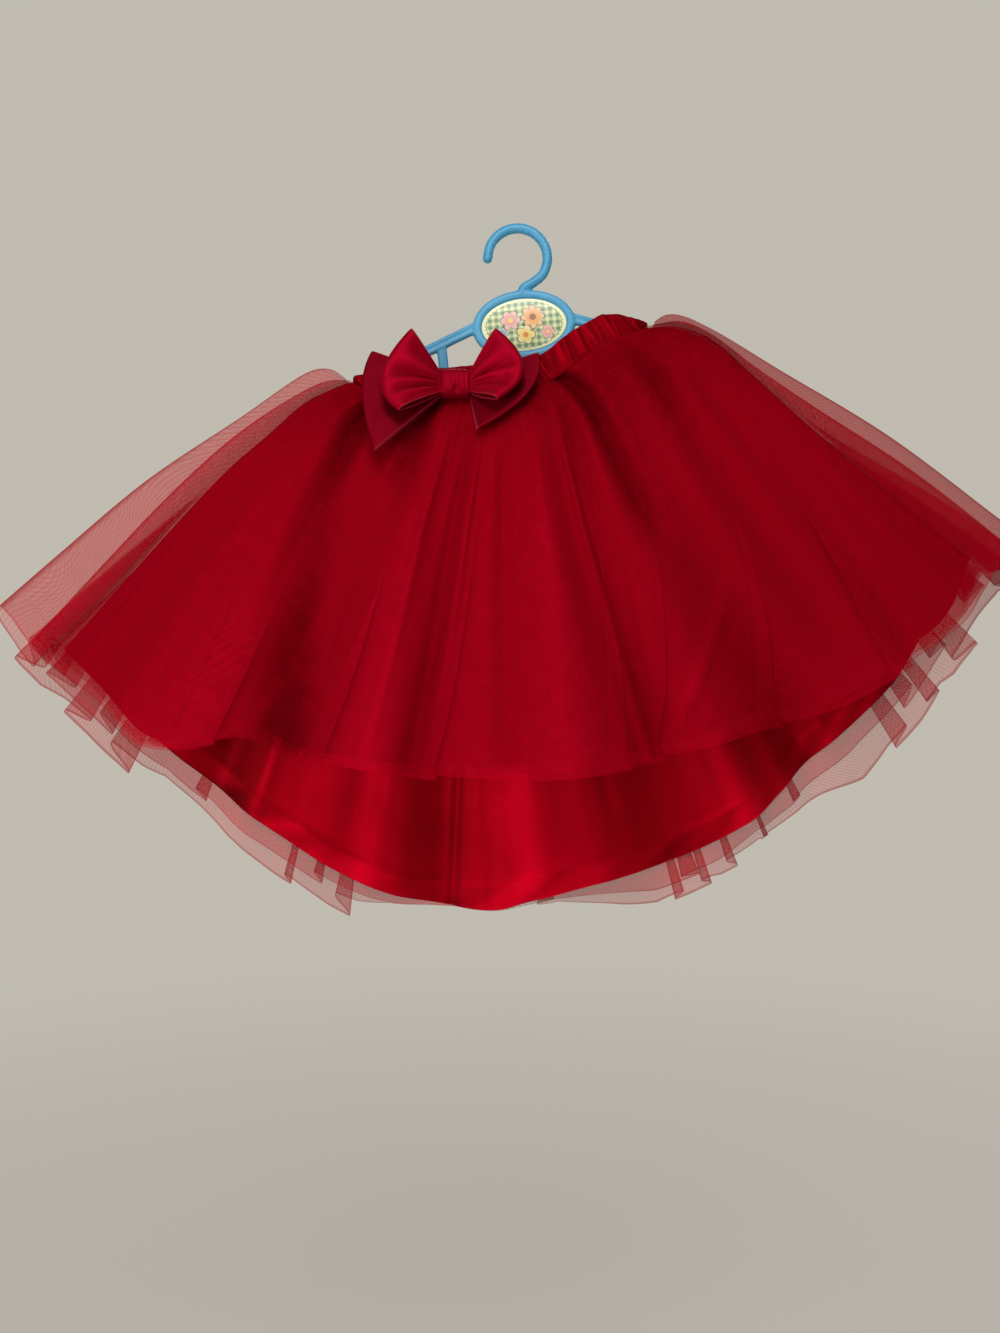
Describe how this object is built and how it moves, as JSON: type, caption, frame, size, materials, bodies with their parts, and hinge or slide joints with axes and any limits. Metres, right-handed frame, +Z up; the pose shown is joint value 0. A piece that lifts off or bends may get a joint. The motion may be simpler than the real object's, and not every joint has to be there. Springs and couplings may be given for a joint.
{
  "type": "child's tulle skirt on a hanger",
  "caption": "Child's red satin skirt with tulle overskirts, a dipped back hem, a gathered waistband and a layered bow, hanging on a moulded plastic hanger.",
  "frame": {"origin": "underside of the crown of the hanger's hook, where it rests on what holds it", "axes": "+Z up, +X to the right as the skirt is faced, +Y towards the wall behind it"},
  "size_m": [0.681, 0.121, 0.4524],
  "materials": {
    "satin": "soft satin weave",
    "tulle": "fine open net, matte",
    "bow_satin": "satin ribbon",
    "hanger_plastic": "moulded, half gloss",
    "badge_print": "printed card under a clear face"
  },
  "bodies": {
    "root": {"hanger": "hanger_plastic", "hanger_badge": "badge_print", "waistband": "satin", "satin_front": "satin", "satin_back": "satin", "tulle_inner_front": "tulle", "tulle_inner_back": "tulle", "tulle_outer_front": "tulle", "tulle_outer_back": "tulle", "bow_lower": "bow_satin", "bow_upper": "bow_satin", "bow_knot": "bow_satin"}
  },
  "joints": []
}
